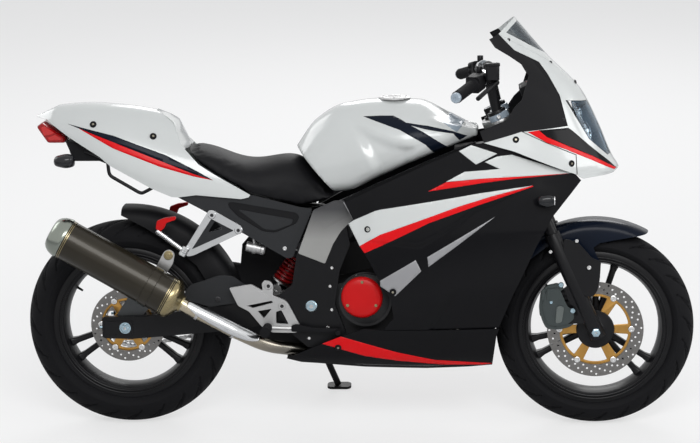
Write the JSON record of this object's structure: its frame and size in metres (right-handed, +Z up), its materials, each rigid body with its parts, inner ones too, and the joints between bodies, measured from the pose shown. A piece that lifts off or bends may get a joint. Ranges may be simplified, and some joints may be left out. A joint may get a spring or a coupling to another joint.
{
  "type": "sport motorcycle",
  "caption": "Faired road sport bike leaning on its side stand, with free wheels, turning fork and handlebars, and a folding stand.",
  "frame": {"origin": "on the ground, below the middle of the parked motorcycle's length and width", "axes": "+X forward, +Y to the rider's left, +Z up; the motorcycle leans 9 degrees towards +Y on its side stand"},
  "size_m": [1.9899, 0.7192, 1.1933],
  "materials": {
    "steel": "bare steel",
    "arm_black": "satin black",
    "caliper_grey": "satin grey",
    "black_plastic": "matte black",
    "black_steel": "satin black paint",
    "engine_grey": "satin dark grey casting",
    "clutch_red": "metallic red",
    "frame_black": "satin black",
    "muffler_bronze": "clear-coated composite sleeve, dark bronze",
    "pipe_steel": "heat-tinted steel",
    "tank_white": "pearl white gloss",
    "bare_alloy": "satin alloy",
    "seat_black": "satin black vinyl",
    "body_white": "pearl white gloss",
    "light_red": "red lens",
    "light_smoke": "dark smoked lens",
    "chrome_trim": "polished",
    "cover_charcoal": "textured charcoal",
    "cover_silver": "satin silver grey",
    "screen_smoke": "smoked clear sheet",
    "lamp_clear": "clear lens",
    "body_black": "gloss black with white and red stripes",
    "fork_black": "satin black",
    "fork_tube": "hard chrome",
    "fender_navy": "gloss near-black navy",
    "grip_rubber": "ribbed black rubber",
    "tyre_rubber": "matte black rubber",
    "wheel_black": "gloss black coated cast alloy",
    "disc_steel": "brushed steel"
  },
  "bodies": {
    "chassis": {"swingarm_bolts": "steel", "swingarm": "arm_black", "rear_caliper": "caliper_grey", "chain": "steel", "rear_hugger": "black_plastic", "subframe": "black_steel", "engine": "engine_grey", "clutch_cover": "clutch_red", "radiator": "frame_black", "muffler": "muffler_bronze", "exhaust_pipe": "pipe_steel", "fuel_tank": "tank_white", "fuel_cap": "bare_alloy", "seat": "seat_black", "tail_cowl": "body_white", "undertail": "black_plastic", "tail_light": "light_red", "rear_signals": "light_smoke", "tail_loops": "chrome_trim", "side_covers": "cover_charcoal", "frame_covers": "cover_silver", "windscreen": "screen_smoke", "inner_fairing": "black_plastic", "headlights": "lamp_clear", "nose_cowl": "body_white", "side_fairings": "body_black", "belly_pan": "body_black", "front_signals": "light_smoke", "fairing_stay": "black_steel", "instruments": "black_plastic", "passenger_footrests": "bare_alloy", "rider_footrests": "bare_alloy", "foot_levers": "bare_alloy", "rear_shock": "steel", "frame": "frame_black"},
    "steering": {"fork_sliders": "fork_black", "fork_stanchions": "fork_tube", "front_axle": "steel", "lower_yoke": "fork_black", "upper_yoke": "fork_black", "front_fender": "fender_navy", "front_caliper": "caliper_grey", "handlebars": "fork_black", "grips": "grip_rubber", "switch_housings": "black_plastic", "levers": "fork_black", "mirror_bosses": "fork_black"},
    "front_wheel": {"front_tyre": "tyre_rubber", "front_rim": "wheel_black", "front_brake_disc": "disc_steel"},
    "rear_wheel": {"rear_tyre": "tyre_rubber", "rear_rim": "wheel_black", "rear_brake_disc": "disc_steel", "rear_sprocket": "steel"},
    "side_stand": {"side_stand": "black_steel"}
  },
  "joints": [
    {"name": "steering_turn", "type": "hinge", "parent": "chassis", "child": "steering", "pos_m": [0.67459, -0.11488, 0.27815], "axis": [-0.4067, 0.1429, 0.9023], "range_deg": [-27, 27]},
    {"name": "front_wheel_spin", "type": "hinge", "parent": "steering", "child": "front_wheel", "pos_m": [0.702, -0.11297, 0.2902], "axis": [0, 0.9877, -0.1564], "continuous": true},
    {"name": "rear_wheel_spin", "type": "hinge", "parent": "chassis", "child": "rear_wheel", "pos_m": [-0.688, -0.11078, 0.30403], "axis": [0, 0.9877, -0.1564], "continuous": true},
    {"name": "stand_fold", "type": "hinge", "parent": "chassis", "child": "side_stand", "pos_m": [-0.158, 0.03954, 0.23668], "axis": [0, 0.9557, 0.2942], "range_deg": [0, 95]}
  ]
}
